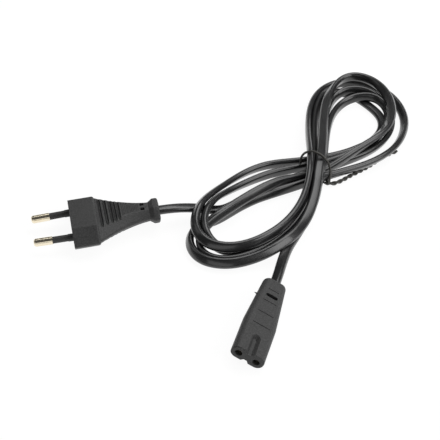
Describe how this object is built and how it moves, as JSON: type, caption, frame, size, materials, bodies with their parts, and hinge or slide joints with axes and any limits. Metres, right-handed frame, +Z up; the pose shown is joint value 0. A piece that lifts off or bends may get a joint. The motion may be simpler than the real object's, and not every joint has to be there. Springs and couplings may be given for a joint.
{
  "type": "figure-eight power lead",
  "caption": "Two-core mains lead: rounded figure-eight appliance connector, flat twin cord wound and tied as a figure-eight hank, and flat moulded plug with sleeved round pins.",
  "frame": {"origin": "on the surface the lead lies on, under the middle of the connector", "axes": "+Z up; -Y the way the connector's nose points; +X completes a right-handed frame, so the connector's lower side, to which it has rolled, is towards +X"},
  "size_m": [0.1684, 0.2346, 0.0142],
  "materials": {
    "moulding": "fine-textured soft black moulding",
    "cord_sheath": "satin black sheath",
    "insert": "hard black moulding",
    "contact_metal": "rolled brass strip",
    "pin_metal": "bright plated brass",
    "pin_sleeve": "smooth black sleeve",
    "core_blue": "blue core insulation",
    "core_brown": "brown core insulation",
    "copper": "bare stranded copper",
    "tie_wire": "plastic-coated wire"
  },
  "bodies": {
    "root": {"connector_body": "moulding", "plug_body": "moulding", "contact_holder": "insert", "pin_bridge": "insert", "contact_left": "contact_metal", "contact_right": "contact_metal", "connector_core_left": "core_blue", "connector_core_right": "core_brown", "plug_core_left": "core_brown", "plug_core_right": "core_blue", "connector_strands_left": "copper", "connector_strands_right": "copper", "plug_strands_left": "copper", "plug_strands_right": "copper", "pin_left": "pin_metal", "pin_right": "pin_metal", "pin_sleeve_left": "pin_sleeve", "pin_sleeve_right": "pin_sleeve", "cord_to_plug": "cord_sheath", "cord_hank": "cord_sheath", "cord_to_connector": "cord_sheath", "twist_tie": "tie_wire"}
  },
  "joints": []
}
